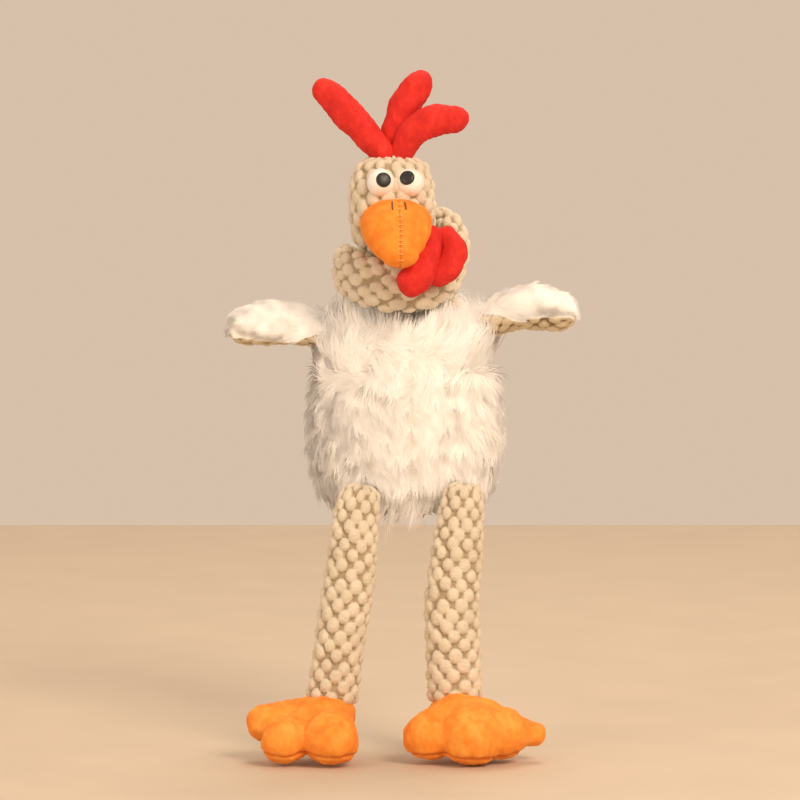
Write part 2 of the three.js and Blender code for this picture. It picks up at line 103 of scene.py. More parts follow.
def wobble3(points, wavelength, seed):
    return np.stack([wobble(points, wavelength, seed + i) for i in range(3)], axis=-1)


def add_object(name, data):
    """A new object in the scene, at the frame's origin."""
    obj = bpy.data.objects.new(name, data)
    bpy.context.scene.collection.objects.link(obj)
    return obj


def set_mark(mesh, name, values):
    """A float attribute with one value for each point."""
    attribute = mesh.attributes.new(name, "FLOAT", "POINT")
    attribute.data.foreach_set("value", values.astype(np.float32))


# ---- grids
class Grid:
    """Points in rows along a soft shape and columns round it, with a pole at each end."""

    def __init__(self, points, first, last):
        self.points = points
        self.first = np.array(first, float)
        self.last = np.array(last, float)
        self.marks = {}

    def normals(self):
        rows = np.concatenate(
            [
                np.broadcast_to(self.first, self.points[:1].shape),
                self.points,
                np.broadcast_to(self.last, self.points[:1].shape),
            ]
        )
        down = rows[2:] - rows[:-2]
        side = np.roll(self.points, -1, axis=1) - np.roll(self.points, 1, axis=1)
        normal = unit(np.cross(side, down))
        outward = self.points - self.points.mean(axis=1, keepdims=True)
        return normal if (normal * outward).sum() > 0 else -normal

    def along(self):
        """Distance along the shape's surface at each row, from its first pole."""
        rings = np.concatenate([[self.points[0] * 0 + self.first], self.points])
        steps = norm(np.diff(rings, axis=0)).mean(axis=1)
        return np.cumsum(steps)[:, None] + np.zeros(self.points.shape[:2])

    def around(self):
        """The share of the way round at each point, and the length round at each row."""
        steps = norm(np.roll(self.points, -1, axis=1) - self.points)
        girth = steps.sum(axis=1, keepdims=True)
        share = (np.cumsum(steps, axis=1) - steps) / girth
        return share, girth

    def push(self, height):
        self.points = self.points + self.normals() * height[..., None]
        return self

    def mesh(self, name, look):
        """An object with this grid's faces, its marks as float attributes, and the look."""
        rows, columns = self.points.shape[:2]
        index = np.arange(rows * columns).reshape(rows, columns)
        beside = np.roll(index, -1, axis=1)
        quads = np.stack([index[:-1], index[1:], beside[1:], beside[:-1]], axis=-1).reshape(-1, 4)
        top, bottom = rows * columns, rows * columns + 1
        fans = [[top, a, b] for a, b in zip(index[0], beside[0])]
        fans += [[bottom, b, a] for a, b in zip(index[-1], beside[-1])]
        points = np.vstack([self.points.reshape(-1, 3), self.first, self.last]) * MM
        faces = quads.tolist() + fans
        centre = self.points.mean(axis=1, keepdims=True)
        a, b, c = points[quads[:, 0]], points[quads[:, 1]], points[quads[:, 2]]
        out = (self.points - centre)[:-1].reshape(-1, 3)
        if (np.cross(b - a, c - a) * out).sum() < 0:
            faces = [face[::-1] for face in faces]
        mesh = bpy.data.meshes.new(name)
        mesh.from_pydata(points.tolist(), [], faces)
        mesh.shade_smooth()
        self.lay_out(mesh, rows, columns)
        for mark, values in self.marks.items():
            ends = [values[0].mean(), values[-1].mean()]
            set_mark(mesh, mark, np.append(values.ravel(), ends))
        mesh.materials.append(look)
        return add_object(name, mesh)

    def lay_out(self, mesh, rows, columns):
        """Texture coordinates that follow the rows and columns."""
        layer = mesh.uv_layers.new(name="OFBake")
        corner = np.empty(len(mesh.loops), np.int32)
        mesh.loops.foreach_get("vertex_index", corner)
        start = np.empty(len(mesh.polygons), np.int32)
        mesh.polygons.foreach_get("loop_start", start)
        size = np.diff(np.append(start, len(corner)))
        face = np.repeat(np.arange(len(start)), size)
        ring = corner < rows * columns
        column = np.where(ring, corner % columns, 0).astype(float)
        row = np.where(ring, corner // columns, np.where(corner == rows * columns, -1, rows))
        last = np.zeros(len(start), bool)
        np.logical_or.at(last, face[ring & (column == columns - 1)], True)
        first = np.zeros(len(start), bool)
        np.logical_or.at(first, face[ring & (column == 0)], True)
        column += columns * ((last & first)[face] & (column == 0))
        uv = np.stack([column / columns, (row + 1) / (rows + 1)], axis=1)
        layer.data.foreach_set("uv", uv.astype(np.float32).ravel())


def soft_line(stations, share):
    """Points on three.js's smooth curve through the stations, at shares 0 to 1 of the way."""
    at = np.array(stations, float)
    knots = np.vstack([2 * at[0] - at[1], at, 2 * at[-1] - at[-2]])
    place = np.clip(share, 0, 1) * (len(at) - 1)
    i = np.minimum(place.astype(int), len(at) - 2)
    t = (place - i)[:, None]
    a, b, c, d = (knots[i + k] for k in range(4))
    pairs = ((a, b), (b, c), (c, d))
    spans = [np.linalg.norm(q - p, axis=1, keepdims=True) ** 0.5 for p, q in pairs]
    d0, d1, d2 = (np.maximum(s, 1e-6) for s in spans)
    leave = ((b - a) / d0 - (c - a) / (d0 + d1) + (c - b) / d1) * d1
    reach = ((c - b) / d1 - (d - b) / (d1 + d2) + (d - c) / d2) * d1
    square = 3 * (c - b) - 2 * leave - reach
    cube = 2 * (b - c) + leave + reach
    return b + leave * t + square * t**2 + cube * t**3


def eased(values, share):
    """Values at shares of the way through evenly spaced ones, eased as in the CAD model."""
    values = np.array(values, float)
    place = np.clip(share, 0, 1) * (len(values) - 1)
    i = np.minimum(place.astype(int), len(values) - 2)
    t = (place - i)[:, None]
    t = (t + t * t * (3 - 2 * t)) / 2
    return values[i] * (1 - t) + values[i + 1] * t


CAP_ROWS = 9
POLE_OFFSET = 0.02  # of a cap's length, between its last row and its pole
SAMPLES_PER_STATION = 60


def tube(stations, columns=64, spacing=1.0, start=2.0, end=2.0, inset=0.0):
    """A grid round a line of stations (at, half-widths, across), with rounded ends."""
    at = [s[0] for s in stations]
    across = [s[2] if len(s) > 2 else (1, 0, 0) for s in stations]
    fine = np.linspace(0, 1, SAMPLES_PER_STATION * len(at))
    line = soft_line(at, fine)
    length = np.append(0, np.cumsum(norm(np.diff(line, axis=0))))
    rows = max(4, int(length[-1] / spacing))
    share = np.interp(np.linspace(0, length[-1], rows), length, fine)
    angle = np.linspace(0, math.pi / 2, CAP_ROWS + 1)[1:-1]
    share = np.concatenate([np.zeros(len(angle)), share, np.ones(len(angle))])
    reach = np.concatenate([-start * np.sin(angle[::-1]), np.zeros(rows), end * np.sin(angle)])
    scale = np.concatenate([np.cos(angle[::-1]), np.ones(rows), np.cos(angle)])
    step = 1e-3
    ahead = soft_line(at, np.clip(share + step, 0, 1))
    behind = soft_line(at, np.clip(share - step, 0, 1))
    tangent = unit(ahead - behind)
    wide = eased(across, share)
    wide = unit(wide - (wide * tangent).sum(axis=1, keepdims=True) * tangent)
    thin = np.cross(tangent, wide)
    half = (eased([s[1] for s in stations], share) - inset) * scale[:, None]
    middle = soft_line(at, share) + tangent * reach[:, None]
    turn = turns(columns)
    points = (
        middle[:, None]
        + wide[:, None] * (half[:, 0:1] * np.cos(turn))[..., None]
        + thin[:, None] * (half[:, 1:2] * np.sin(turn))[..., None]
    )
    first = middle[0] - tangent[0] * POLE_OFFSET * start
    last = middle[-1] + tangent[-1] * POLE_OFFSET * end
    return Grid(points, first, last)


# ---- node materials
class Look:
    """A procedural material under construction."""

    def __init__(self, name):
        self.material = bpy.data.materials.new(name)
        self.material.use_nodes = True
        self.tree = self.material.node_tree
        self.shader = self.tree.nodes["Principled BSDF"]
        self.place = self.add("ShaderNodeTexCoord").outputs["Object"]

    def add(self, kind, inputs=(), **settings):
        node = self.tree.nodes.new(kind)
        for key, value in settings.items():
            setattr(node, key, value)
        for key, value in dict(inputs).items():
            if isinstance(value, bpy.types.NodeSocket):
                self.tree.links.new(value, node.inputs[key])
            else:
                node.inputs[key].default_value = value
        return node

    def noise(self, size_mm, detail=3.0, rough=0.55, stretch=None):
        place = self.place
        if stretch:
            place = self.add(
                "ShaderNodeMapping", {"Vector": place, "Scale": stretch}
            ).outputs["Vector"]
        inputs = {"Vector": place, "Scale": 1 / (size_mm * MM)}
        inputs.update({"Detail": detail, "Roughness": rough})
        return self.add("ShaderNodeTexNoise", inputs).outputs["Fac"]

    def ramp(self, factor, *stops):
        node = self.add("ShaderNodeValToRGB", {"Fac": factor})
        elements = node.color_ramp.elements
        while len(elements) < len(stops):
            elements.new(0.5)
        for element, (place, colour) in zip(elements, stops):
            element.position = place
            element.color = (*colour, 1)
        return node.outputs["Color"]

    def mark(self, name):
        return self.add("ShaderNodeAttribute", attribute_name=name).outputs["Fac"]

    def mix(self, factor, a, b):
        node = self.add("ShaderNodeMix", data_type="RGBA")
        factor_in, a_in, b_in = (node.inputs[i] for i in (0, 6, 7))
        for socket, value in ((factor_in, factor), (a_in, a), (b_in, b)):
            if isinstance(value, bpy.types.NodeSocket):
                self.tree.links.new(value, socket)
            elif isinstance(value, tuple):
                socket.default_value = (*value, 1)
            else:
                socket.default_value = value
        return node.outputs[2]

    def math(self, how, a, b=0.0):
        return self.add("ShaderNodeMath", {0: a, 1: b}, operation=how).outputs[0]

    def spread(self, factor, low, high, to_low, to_high):
        inputs = {"Value": factor, "From Min": low, "From Max": high}
        inputs.update({"To Min": to_low, "To Max": to_high})
        return self.add("ShaderNodeMapRange", inputs).outputs["Result"]

    def bump(self, height, distance_mm, strength=1.0, under=None):
        """A normal bumped by a height, on top of another normal where there is one."""
        inputs = {"Height": height, "Distance": distance_mm * MM, "Strength": strength}
        if under is not None:
            inputs["Normal"] = under
        return self.add("ShaderNodeBump", inputs).outputs["Normal"]

    def finish(self, colour, rough, normal=None, **constants):
        links = {"Base Color": colour, "Roughness": rough, "Normal": normal}
        for socket, value in links.items():
            if value is not None:
                self.tree.links.new(value, self.shader.inputs[socket])
        for socket, value in constants.items():
            self.shader.inputs[socket.replace("_", " ")].default_value = value
        return self.material


def bobble_look():
    """Cream chenille bobbles with painted shade in the gaps between them."""
    look = Look("bobble_fabric")
    gap = look.mark("gap")
    blotch = look.noise(14, 2)
    fuzz = look.noise(0.9, 3, 0.7)
    crown = look.ramp(blotch, (0.3, (0.63, 0.55, 0.41)), (0.7, (0.76, 0.68, 0.53)))
    crown = look.mix(look.spread(fuzz, 0.35, 0.65, 0.0, 0.35), crown, (0.88, 0.82, 0.70))
    # Painted shade: these darker browns fill the gaps between the bobbles and stand in for the shade
    # there.
    deep = look.ramp(fuzz, (0.3, (0.33, 0.24, 0.135)), (0.7, (0.47, 0.36, 0.22)))
    shade = look.spread(gap, 0.5, 1.0, 0.0, 0.9)
    colour = look.mix(shade, crown, deep)
    rough = look.spread(fuzz, 0.2, 0.8, 0.82, 0.98)
    normal = look.bump(fuzz, 0.6, 0.7)
    normal = look.bump(look.noise(2.2, 2, 0.6), 0.9, 0.5, normal)
    return look.finish(colour, rough, normal, Sheen_Weight=0.25, Sheen_Roughness=0.6)


def velvet_look(name, deep, main, light, seam_shade):
    """Short-pile plush: patches where the pile lies the other way, and painted shade along a seam."""
    look = Look(name)
    patch = look.noise(9, 3, 0.6)
    stroke = look.noise(2.6, 4, 0.7, stretch=(1.0, 1.0, 0.45))
    pile = look.noise(0.45, 2, 0.6)
    from_patch = look.math("MULTIPLY", patch, 0.65)
    from_stroke = look.math("MULTIPLY", stroke, 0.35)
    tone = look.math("ADD", from_patch, from_stroke)
    colour = look.ramp(tone, (0.36, deep), (0.5, main), (0.64, light))
    colour = look.mix(look.spread(pile, 0.3, 0.7, 0.0, 0.22), colour, light)
    # Painted shade: this colour darkens the crease along the seam.
    colour = look.mix(look.spread(look.mark("seam"), 0.15, 1.0, 0.0, 0.8), colour, seam_shade)
    rough = look.spread(pile, 0.3, 0.7, 0.72, 0.92)
    normal = look.bump(pile, 0.18, 0.6)
    normal = look.bump(stroke, 0.7, 0.35, normal)
    sheen = {"Sheen_Weight": 0.18, "Sheen_Roughness": 0.4, "Sheen_Tint": (*light, 1)}
    return look.finish(colour, rough, normal, **sheen)


def fur_look():
    """Long white pile: painted shade makes it a little darker at its roots, and it is warmer in
    patches.
    """
    look = Look("fur_pile")
    height = look.mark("height")
    patch = look.noise(16, 3, 0.6)
    strand = look.noise(1.2, 2, 0.6)
    tip = look.ramp(patch, (0.3, (0.93, 0.915, 0.89)), (0.7, (0.97, 0.96, 0.945)))
    tip = look.mix(look.spread(strand, 0.35, 0.65, 0.0, 0.2), tip, (0.90, 0.87, 0.82))
    # Painted shade: the roots are darker, as if shaded by the hairs over them.
    colour = look.mix(look.spread(height, 0.0, 0.6, 0.0, 1.0), (0.86, 0.82, 0.76), tip)
    rough = look.spread(strand, 0.3, 0.7, 0.6, 0.85)
    return look.finish(colour, rough, None, Sheen_Weight=0.3, Sheen_Roughness=0.5)


def backing_look():
    """The knitted backing that the fur grows from, which shows only between the hairs."""
    look = Look("fur_backing")
    knit = look.noise(1.1, 3, 0.7)
    colour = look.ramp(knit, (0.3, (0.84, 0.80, 0.74)), (0.7, (0.94, 0.92, 0.88)))
    normal = look.bump(look.noise(1.6, 4, 0.75), 1.0, 0.8)
    return look.finish(colour, look.spread(knit, 0.2, 0.8, 0.85, 1.0), normal)


def wing_look():
    """Fur backing on top of a wing and bobble fabric under it, with painted shade between its bobbles.
    """
    look = Look("wing_skin")
    gap = look.mark("gap")
    fuzz = look.noise(0.9, 3, 0.7)
    crown = look.ramp(look.noise(12, 2), (0.3, (0.60, 0.50, 0.34)), (0.7, (0.72, 0.62, 0.45)))
    # Painted shade: dark brown in the gaps between the bobbles under the wing.
    colour = look.mix(look.spread(gap, 0.42, 0.95, 0.0, 1.0), crown, (0.26, 0.18, 0.09))
    colour = look.mix(look.mark("furry"), colour, (0.90, 0.87, 0.82))
    normal = look.bump(fuzz, 0.6, 0.7)
    return look.finish(colour, look.spread(fuzz, 0.2, 0.8, 0.82, 0.98), normal)


def plastic_look(name, low, high, rough_low, rough_high, grain_mm=2.5, bump_mm=0.04):
    """Moulded plastic with faint mottling and an orange-peel surface."""
    look = Look(name)
    grain = look.noise(grain_mm, 3, 0.5)
    colour = look.ramp(grain, (0.3, low), (0.7, high))
    rough = look.spread(grain, 0.3, 0.7, rough_low, rough_high)
    return look.finish(colour, rough, look.bump(grain, bump_mm, 0.6))


def thread_look(name, low, high):
    """Sewing thread with its twist."""
    look = Look(name)
    twist = look.noise(0.35, 2, 0.6)
    colour = look.ramp(twist, (0.3, low), (0.7, high))
    return look.finish(colour, look.spread(twist, 0.3, 0.7, 0.6, 0.85), look.bump(twist, 0.15, 0.7))


BOBBLE = bobble_look()
FUR = fur_look()
BACKING = backing_look()
WING = wing_look()
# The last colour of each plush is painted shade for its seam's crease.
BEAK = velvet_look(
    "beak_plush", (0.80, 0.19, 0.010), (0.90, 0.26, 0.018), (0.94, 0.34, 0.035), (0.68, 0.14, 0.01)
)
FOOT = velvet_look(
    "foot_plush", (0.84, 0.20, 0.014), (0.92, 0.29, 0.028), (0.96, 0.40, 0.07), (0.60, 0.11, 0.008)
)
RED = velvet_look(
    "red_plush", (0.50, 0.008, 0.006), (0.64, 0.014, 0.009), (0.78, 0.035, 0.022), (0.28, 0.004, 0.004)
)
EYE_WHITE = plastic_look("eye_white", (0.90, 0.87, 0.83), (0.94, 0.92, 0.89), 0.22, 0.32)
PUPIL = plastic_look(
    "pupil_black", (0.010, 0.010, 0.012), (0.022, 0.022, 0.024), 0.32, 0.5, grain_mm=0.8, bump_mm=0.1
)
CLEAR = plastic_look("squeaker_plastic", (0.66, 0.69, 0.69), (0.76, 0.78, 0.78), 0.35, 0.5)
REED = plastic_look("reed_plastic", (0.74, 0.73, 0.70), (0.82, 0.81, 0.78), 0.4, 0.55)
WASHER = plastic_look("eye_washer_plastic", (0.76, 0.76, 0.75), (0.86, 0.86, 0.85), 0.45, 0.6)
PALE_THREAD = thread_look("pale_thread", (0.90, 0.42, 0.10), (0.98, 0.58, 0.22))
DARK_THREAD = thread_look("dark_thread", (0.10, 0.035, 0.015), (0.22, 0.08, 0.03))


# ---- bobble fabric
BOBBLE_PITCH = 5.2  # between rows, which are offset by half a column
BOBBLE_COLUMN = 10.4  # between the columns of one row
BOBBLE_R = 3.9
BOBBLE_RISE = 2.6
FAR_AWAY = 9.0  # in bobble radii, more than any point is from a bobble


def bobbles(grid, columns, seed, rise=BOBBLE_RISE, share=None):
    """Raises the rounded nubs of the bobble fabric on a grid, in a slightly uneven lattice."""
    rng = np.random.default_rng(seed)
    s = grid.along()
    c, girth = grid.around()
    count = int(s.max() / BOBBLE_PITCH) + 6
    shift_s = rng.normal(0, 0.09, (count, columns))
    shift_c = rng.normal(0, 0.06, (count, columns))
    size = rng.uniform(0.9, 1.08, (count, columns))
    nearest = np.full(s.shape, FAR_AWAY)
    base = np.floor(s / BOBBLE_PITCH).astype(int)
    for row_step in (-1, 0, 1, 2):
        row = base + row_step
        offset = (row % 2) * 0.5
        first = np.floor(c * columns - offset).astype(int)
        for column_step in (0, 1):
            column = first + column_step
            pick = (np.clip(row + 1, 0, count - 1), column % columns)
            ds = s - (row + shift_s[pick]) * BOBBLE_PITCH
            dc = (c - (column + offset + shift_c[pick]) / columns) * girth
            squeeze = np.minimum(girth / columns / BOBBLE_COLUMN, 1)
            away = np.hypot(ds, dc / squeeze) / (BOBBLE_R * size[pick])
            nearest = np.minimum(nearest, away)
    dome = np.sqrt(np.clip(1 - nearest**2, 0, 1))
    fuzz = 0.10 * wobble(grid.points, 2.0, seed + 1) + 0.07 * wobble(grid.points, 1.1, seed + 2)
    height = rise * dome**0.8 + fuzz * (0.4 + dome)
    # The gap mark is 1 between the nubs, where the bobble looks paint shade.
    grid.marks["gap"] = 1 - dome
    if share is not None:
        height = height * share
        grid.marks["gap"] = 1 - dome * share
    return grid.push(height)


def declare(obj, fill, slot, *nodes):
    """Hides the CAD nodes that a padded piece takes the place of."""
    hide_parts(*nodes)
    return obj


# ---- body
BODY_HALF_WIDTH = 50.5
BODY_DEPTH_RATIO = 0.76
BODY_DOME = 6
# Heights, with the share of the half-width at each. They are within 0.32 mm of the CAD's.
BODY_RINGS = [(0, 0.66), (6, 0.82), (17, 0.93), (33, 0.99)]
BODY_RINGS += [(50, 1), (66, 0.955), (80, 0.85), (92, 0.69)]
BACKING_DEPTH = 3.2  # of the fur's backing under the CAD surface
BODY_LOWEST = 0.8


def body_skin():
    stations = []
    for z, share in BODY_RINGS:
        half = share * BODY_HALF_WIDTH
        stations.append(((0, 0, z), (half, half * BODY_DEPTH_RATIO)))
    grid = tube(stations, 120, 1.6, start=0.4, end=BODY_DOME, inset=BACKING_DEPTH)
    grid.points[..., 2] = np.maximum(grid.points[..., 2], BODY_LOWEST)
    grid.first[2] = BODY_LOWEST
    return grid.push(0.5 * wobble(grid.points, 17, 3))


def quad_corners(values):
    """A grid's values at the four corners of each of its quads."""
    beside = np.roll(values, -1, axis=1)
    return [values[:-1], beside[:-1], values[1:], beside[1:]]


def scatter(grid, count, rng, keep):
    """Random points on a grid, even by area, where keep(points) is true, with their normals."""
    corners = quad_corners(grid.points)
    normals = quad_corners(grid.normals())
    area = norm(np.cross(corners[3] - corners[0], corners[2] - corners[1])).ravel()
    tries = count * 2
    pick = rng.choice(len(area), tries, p=area / area.sum())
    u, v = rng.random((2, tries, 1))
    weights = ((1 - u) * (1 - v), u * (1 - v), (1 - u) * v, u * v)
    points = sum(w * a.reshape(-1, 3)[pick] for w, a in zip(weights, corners))
    normal = unit(sum(w * a.reshape(-1, 3)[pick] for w, a in zip(weights, normals)))
    kept = np.flatnonzero(keep(points))[:count]
    return points[kept], normal[kept]


STRAND_STOPS = np.array([0, 0.36, 0.7, 1.0])  # shares of a hair's length
STRAND_WIDTHS = np.array([0.24, 0.22, 0.14])  # its radius at each stop but the tip
HAIRS_PER_CLUMP = 12
CLUMP_PULL = 0.34  # how far a hair's tip is pulled to its clump's
CLUMP_SPREAD = 0.36  # of the distance between two roots, left between their tips when pulled


def strands(roots, normals, comb, length, lift, seed, swirl=0.45, ruffle=1.0):
    """Centre lines of combed, clumped hairs: an array of hair, stop and coordinate."""
    rng = np.random.default_rng(seed)
    count = len(roots)
    leaders = rng.choice(count, max(1, count // HAIRS_PER_CLUMP), replace=False)
    tree = KDTree(len(leaders))
    for i, leader in enumerate(leaders):
        tree.insert(roots[leader], i)
    tree.balance()
    chosen = leaders[[tree.find(p)[1] for p in roots]]
    comb = comb + swirl * wobble3(roots, 26, seed + 5) + 0.3 * swirl * wobble3(roots, 9, seed + 9)
    comb = unit(comb - (comb * normals).sum(axis=1, keepdims=True) * normals)
    own_lean = rng.normal(0, 0.24, (count, 3))
    clump_lean = rng.normal(0, 0.26, (count, 3))[chosen]
    lean = ruffle * (own_lean + clump_lean)
    clump_lift = rng.normal(1, 0.2 * ruffle, count)[chosen]
    own_lift = rng.normal(1, 0.12, count)
    lift = (lift * np.clip(clump_lift * own_lift, 0.35, 1.7))[:, None]
    own_length = rng.uniform(0.78, 1.1, count)
    clump_length = rng.uniform(0.85, 1.12, count)[chosen]
    length = (length * own_length * clump_length)[:, None]
    lines = []
    for stop in STRAND_STOPS:
        rise = normals * lift * stop * (1.6 - stop)
        run = comb * (0.30 * stop + 0.55 * stop**2)
        bend = lean * stop**1.5 * 0.5
        lines.append(roots + length * (rise + run + bend))
    own = np.stack(lines, axis=1)
    led = own[chosen] + CLUMP_SPREAD * (roots - roots[chosen])[:, None]
    pull = (CLUMP_PULL * STRAND_STOPS**1.3)[None, :, None]
    return own * (1 - pull) + led * pull


SHADING_WOBBLE = 0.28  # how unevenly the pile is shaded, over the normals under it


def fur_mesh(name, lines, normals, thickness=1.0):
    """One mesh of closed, tapered, three-sided hairs along the lines."""
    count = len(lines)
    axis = unit(lines[:, 1:] - lines[:, :-1])
    axis = np.concatenate([axis, axis[:, -1:]], axis=1)
    side = unit(np.cross(axis, normals[:, None] + 0.01))
    other = np.cross(axis, side)
    rings = []
    for ring, width in enumerate(STRAND_WIDTHS * thickness):
        for corner in range(3):
            angle = 2 * math.pi * corner / 3
            offset = side[:, ring] * math.cos(angle) + other[:, ring] * math.sin(angle)
            rings.append(lines[:, ring] + width * offset)
    rings.append(lines[:, -1])
    points = np.stack(rings, axis=1) * MM
    # A hair's points are three rings of three and then its tip.
    pattern = [[0, 2, 1]]
    for ring in (0, 3):
        for corner in range(3):
            a, b = ring + corner, ring + (corner + 1) % 3
            pattern += [[a, b, b + 3], [a, b + 3, a + 3]]
    pattern += [[6 + corner, 6 + (corner + 1) % 3, 9] for corner in range(3)]
    per = points.shape[1]
    hair_start = per * np.arange(count)[:, None, None]
    faces = (np.array(pattern)[None] + hair_start).reshape(-1, 3)
    mesh = bpy.data.meshes.new(name)
    mesh.vertices.add(count * per)
    mesh.vertices.foreach_set("co", points.astype(np.float32).ravel())
    mesh.loops.add(faces.size)
    mesh.loops.foreach_set("vertex_index", faces.astype(np.int32).ravel())
    mesh.polygons.add(len(faces))
    mesh.polygons.foreach_set("loop_start", np.arange(0, faces.size, 3, dtype=np.int32))
    mesh.update(calc_edges=True)
    mesh.shade_smooth()
    # The height mark runs from root to tip; the fur's look paints shade at the roots with it.
    height = np.repeat(STRAND_STOPS, [3, 3, 3, 1]).astype(np.float32)
    set_mark(mesh, "height", np.tile(height, count))
    shading = unit(normals + SHADING_WOBBLE * wobble3(lines[:, 0], 8, 7))
    mesh.normals_split_custom_set_from_vertices(np.repeat(shading, per, axis=0).tolist())
    # Each hair has its own square cell of the texture.
    side_cells = math.ceil(count**0.5)
    cell = np.stack([np.arange(count) % side_cells, np.arange(count) // side_cells], axis=1)
    inside = np.stack([np.tile([0.1, 0.5, 0.9], 4)[:per], 0.05 + 0.9 * height], axis=1)
    uv = (cell[:, None] + inside[None]) / side_cells
    layer = mesh.uv_layers.new(name="OFBake")
    layer.data.foreach_set("uv", uv.reshape(-1, 2)[faces.ravel()].astype(np.float32).ravel())
    mesh.materials.append(FUR)
    obj = add_object(name, mesh)
    obj.visible_shadow = False  # real pile lets light through, and these hairs are opaque
    return obj


def clear_of(lines, a, b, radius):
    """Moves the hairs' points that lie in a capsule from a to b out to its surface."""
    along = b - a
    share = np.clip(((lines - a) @ along) / (along @ along), 0, 1)
    nearest = a + share[..., None] * along
    away = lines - nearest
    distance = np.linalg.norm(away, axis=-1, keepdims=True)
    return np.where(distance < radius, nearest + away / np.maximum(distance, 1e-6) * radius, lines)


FUR_COUNT = 46000
FUR_LENGTH = 10.0
SHOULDER = 0.75  # how much longer the pile is over the shoulders
FRINGE = 1.3  # how much longer the pile is between the legs
HIP_CLEARANCE = 10.0  # no hair grows nearer to a hip
LEG_CLEARANCE = 12.5  # no hair comes nearer to a thigh's line
SEAM_X = 3  # where the seam between the two front panels lies
PILE_LOWEST = -1.2  # the lowest the pile hangs under the body, behind the fringe
FRINGE_Y = -27  # the pile in front of this is the fringe
SEAT_SHARE = 0.72  # of the body's half-width, that it rests on
# Heights where an effect on the pile begins, and is full.
TOP = (84, 97)
UNDERSIDE = (6, 1)
SHORT_BENEATH = (8, 1)
SHOULDERS = (62, 80)
COLLAR = (76, 90)
RAISED = (66, 86)
LONG_BELOW = (70, 20)
FRINGE_HEIGHTS = (14, 4)
HIP_REACH = (13, 24)  # distances from a hip where the pile is shortest, and full
HIP_PILE = (0.8, 0.45)  # the share of its length that is left at each hip


def shoulder_share(roots):
    """1 on the collar and beside the knot, and 0 lower down."""
    x, _, z = roots.T
    beside_knot = smooth(12, 24, np.abs(x - 2))
    return np.maximum(smooth(*SHOULDERS, z) * beside_knot, smooth(*COLLAR, z))


def seam_share(roots):
    """1 on the front seam, and less to both sides of it."""
    x, y, _ = roots.T
    return np.exp(-((x - SEAM_X) / 5) ** 2) * (y < 0)


def fringe_share(roots):
    """1 where the pile hangs down between the legs."""
    x, y, z = roots.T
    front = smooth(-18, -30, y)
    middle = smooth(30, 18, np.abs(x - SEAM_X))
    return smooth(*FRINGE_HEIGHTS, z) * front * middle


def body_comb(roots):
    """The way the pile lies: down the sides, out at the top and beneath, up at the shoulders."""
    x, _, z = roots.T
    radial = unit(roots * [1, 1, 0])
    top = smooth(*TOP, z)[:, None]
    under = smooth(*UNDERSIDE, z)[:, None]
    comb = -UP * (1 - top) * (1 - under) + radial * (top * 0.4 + under)
    comb = comb + shoulder_share(roots)[:, None] * [0, 0, 2.2]
    parting = np.sign(x - SEAM_X) * seam_share(roots) * 0.5
    comb = comb + parting[:, None] * [1, 0, 0]
    return comb - fringe_share(roots)[:, None] * UP


def body_pile(roots, hips):
    """The pile's length at each root."""
    z = roots[:, 2]
    length = FUR_LENGTH * (1 - 0.35 * smooth(*SHORT_BENEATH, z))
    length = length * (1 + 0.12 * smooth(*LONG_BELOW, z))
    length = length * (1 - 0.3 * seam_share(roots))
    length = length * (1 + FRINGE * fringe_share(roots)) * (1 + SHOULDER * shoulder_share(roots))
    for hip, share in zip(hips, HIP_PILE):
        away = smooth(*HIP_REACH, norm(roots - hip))
        length = length * (share + (1 - share) * away)
    return length


def build_body():
    grid = body_skin()
    skin = grid.mesh("body_backing", BACKING)
    panels = [f"body_{part}_panel" for part in ("front_left", "front_right", "back")]
    declare(skin, 0.85, "fur", *panels, "body_front_stuffing", "body_back_stuffing")
    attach(skin, "body")
    rng = np.random.default_rng(11)
    hips = [PIVOT["thigh_left"], PIVOT["thigh_right"]]
    knees = [PIVOT["shin_left"], PIVOT["shin_right"]]

    def keep(points):
        free = np.ones(len(points), bool)
        for hip in hips:
            free &= norm(points - hip) > HIP_CLEARANCE
        return free

    roots, normals = scatter(grid, FUR_COUNT, rng, keep)
    x, y, z = roots.T
    lift = 0.46 * (1 - 0.55 * smooth(*UNDERSIDE, z)) + 0.55 * smooth(*RAISED, z)
    lines = strands(roots, normals, body_comb(roots), body_pile(roots, hips), lift, 21)
    for hip, knee in zip(hips, knees):
        lines = clear_of(lines, hip, knee, LEG_CLEARANCE)
    beneath = (lines[..., 2] < PILE_LOWEST) & (y > FRINGE_Y)[:, None]
    from_axis = np.hypot(lines[..., 0], lines[..., 1] / BODY_DEPTH_RATIO)
    inner = from_axis < SEAT_SHARE * BODY_HALF_WIDTH
    lines[..., 2] = np.where(beneath & inner, PILE_LOWEST, lines[..., 2])
    for half, at_half in (("front", y < 0), ("back", y >= 0)):
        for side, at_side in (("left", x < 0), ("right", x >= 0)):
            where = at_half & at_side
            fur = fur_mesh(f"body_fur_{half}_{side}", lines[where], normals[where])
            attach(fur, "body")


# ---- wings
WING_LENGTH = 36
WING_HALF_CHORD = 19
WING_HALF_THICKNESS = 11.5
WING_ROOT_R = 8.5
WING_ROOT_HALF_CHORD = 13
WING_TIP = 10
# Share of the length, rise, turn, half-chord and half-thickness, from the root to the tip.
WING_PLAN = [
    (0, 0, 0, WING_ROOT_HALF_CHORD, WING_ROOT_R),
    (0.36, 0.7, 0.5, 0.9 * WING_HALF_CHORD, 0.86 * WING_HALF_THICKNESS),
    (0.72, 1, 0.8, WING_HALF_CHORD, WING_HALF_THICKNESS),
    (1, 0.8, 1, 0.84 * WING_HALF_CHORD, 0.92 * WING_HALF_THICKNESS),
]
WING_INSET = 2.2
WING_SEAM_DROP = 2  # of the seam under the wing's thickest point
WING_FUR_COUNT = 13000
WING_FUR_LENGTH = 9.5
WING_SEEDS = {"wing_left": (31, 41, 51), "wing_right": (37, 43, 53)}


